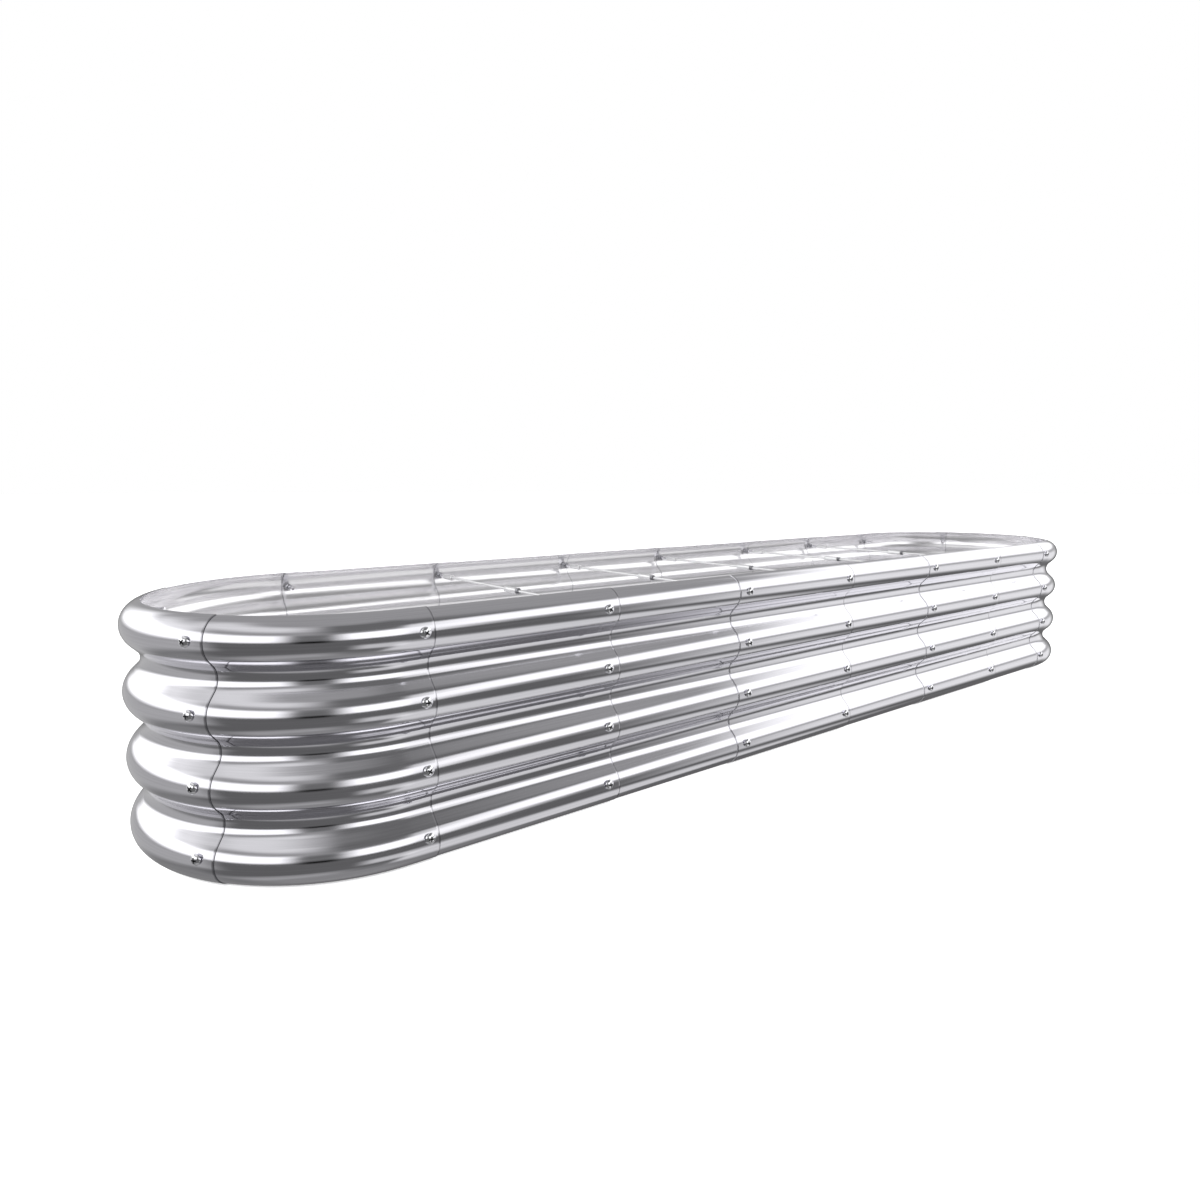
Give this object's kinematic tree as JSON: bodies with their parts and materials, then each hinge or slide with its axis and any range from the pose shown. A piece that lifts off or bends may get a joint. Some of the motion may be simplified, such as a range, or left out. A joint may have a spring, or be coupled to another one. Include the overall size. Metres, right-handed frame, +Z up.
{
  "type": "raised garden bed",
  "caption": "Long low raised garden bed with round ends, made of lapped corrugated steel sheets with screwed seams and threaded tie rods across the top.",
  "frame": {"origin": "on the ground in the middle of the bed", "axes": "+X along the bed to its right end, +Y across it to the back wall, +Z up"},
  "size_m": [2.0052, 0.48, 0.288],
  "materials": {
    "corrugated_sheet": "polished",
    "screws": "polished",
    "nuts": "satin",
    "tie_rods": "satin",
    "lock_nuts": "satin"
  },
  "bodies": {
    "bed": {"front_panel_1": "corrugated_sheet", "front_panel_2": "corrugated_sheet", "front_panel_3": "corrugated_sheet", "front_panel_4": "corrugated_sheet", "front_panel_5": "corrugated_sheet", "front_panel_6": "corrugated_sheet", "front_corner_left": "corrugated_sheet", "front_corner_right": "corrugated_sheet", "back_panel_1": "corrugated_sheet", "back_panel_2": "corrugated_sheet", "back_panel_3": "corrugated_sheet", "back_panel_4": "corrugated_sheet", "back_panel_5": "corrugated_sheet", "back_panel_6": "corrugated_sheet", "back_corner_left": "corrugated_sheet", "back_corner_right": "corrugated_sheet", "left_end_panel": "corrugated_sheet", "right_end_panel": "corrugated_sheet", "front_screws": "screws", "back_screws": "screws", "left_end_screws": "screws", "right_end_screws": "screws", "front_nuts": "nuts", "back_nuts": "nuts", "left_end_nuts": "nuts", "right_end_nuts": "nuts", "tie_rod_1_front_socket": "tie_rods", "tie_rod_1_back_socket": "tie_rods", "tie_rod_1_back": "tie_rods", "tie_rod_1_front": "tie_rods", "tie_rod_1_lock_nut": "lock_nuts", "tie_rod_2_front_socket": "tie_rods", "tie_rod_2_back_socket": "tie_rods", "tie_rod_2_back": "tie_rods", "tie_rod_2_front": "tie_rods", "tie_rod_2_lock_nut": "lock_nuts", "tie_rod_3_front_socket": "tie_rods", "tie_rod_3_back_socket": "tie_rods", "tie_rod_3_back": "tie_rods", "tie_rod_3_front": "tie_rods", "tie_rod_3_lock_nut": "lock_nuts", "tie_rod_4_front_socket": "tie_rods", "tie_rod_4_back_socket": "tie_rods", "tie_rod_4_back": "tie_rods", "tie_rod_4_front": "tie_rods", "tie_rod_4_lock_nut": "lock_nuts", "tie_rod_5_front_socket": "tie_rods", "tie_rod_5_back_socket": "tie_rods", "tie_rod_5_back": "tie_rods", "tie_rod_5_front": "tie_rods", "tie_rod_5_lock_nut": "lock_nuts"},
    "turnbuckle_1": {"tie_rod_1_turnbuckle": "tie_rods"},
    "turnbuckle_2": {"tie_rod_2_turnbuckle": "tie_rods"},
    "turnbuckle_3": {"tie_rod_3_turnbuckle": "tie_rods"},
    "turnbuckle_4": {"tie_rod_4_turnbuckle": "tie_rods"},
    "turnbuckle_5": {"tie_rod_5_turnbuckle": "tie_rods"}
  },
  "joints": [
    {"name": "turnbuckle_1_turn", "type": "hinge", "parent": "bed", "child": "turnbuckle_1", "pos_m": [-0.49878, -0.0035, 0.263], "axis": [0, 1, 0], "continuous": true},
    {"name": "turnbuckle_2_turn", "type": "hinge", "parent": "bed", "child": "turnbuckle_2", "pos_m": [-0.23303, -0.0035, 0.263], "axis": [0, 1, 0], "continuous": true},
    {"name": "turnbuckle_3_turn", "type": "hinge", "parent": "bed", "child": "turnbuckle_3", "pos_m": [0.01523, -0.0035, 0.263], "axis": [0, 1, 0], "continuous": true},
    {"name": "turnbuckle_4_turn", "type": "hinge", "parent": "bed", "child": "turnbuckle_4", "pos_m": [0.28697, -0.0035, 0.263], "axis": [0, 1, 0], "continuous": true},
    {"name": "turnbuckle_5_turn", "type": "hinge", "parent": "bed", "child": "turnbuckle_5", "pos_m": [0.52548, -0.0035, 0.263], "axis": [0, 1, 0], "continuous": true}
  ]
}
